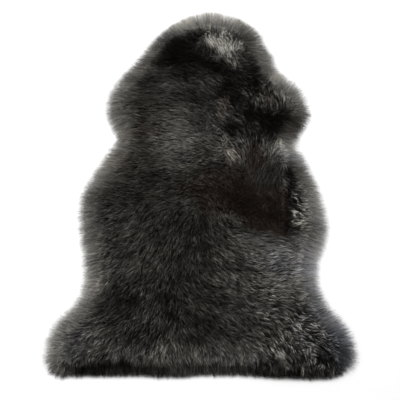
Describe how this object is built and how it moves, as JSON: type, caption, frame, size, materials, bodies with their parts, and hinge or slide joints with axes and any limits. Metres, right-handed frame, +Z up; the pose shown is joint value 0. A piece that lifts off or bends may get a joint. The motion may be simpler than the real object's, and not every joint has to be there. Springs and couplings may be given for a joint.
{
  "type": "sheepskin rug",
  "caption": "Flat single sheepskin rug: a whole pelt outline with a thick, lumpy long wool pile and pointed locks round its rim.",
  "frame": {"origin": "on the floor plane, at the middle of the rug's length and width", "axes": "+Z up out of the wool, +Y towards the neck, +X to the right seen from above with the neck away"},
  "size_m": [0.7724, 1.0022, 0.0565],
  "materials": {
    "wool": "long, soft, dyed charcoal wool, matt with a faint sheen along the fibres",
    "hide": "suede flesh side of the tanned hide, undyed to smoky brown, fully matt"
  },
  "bodies": {
    "root": {"sheepskin": "wool"}
  },
  "joints": []
}
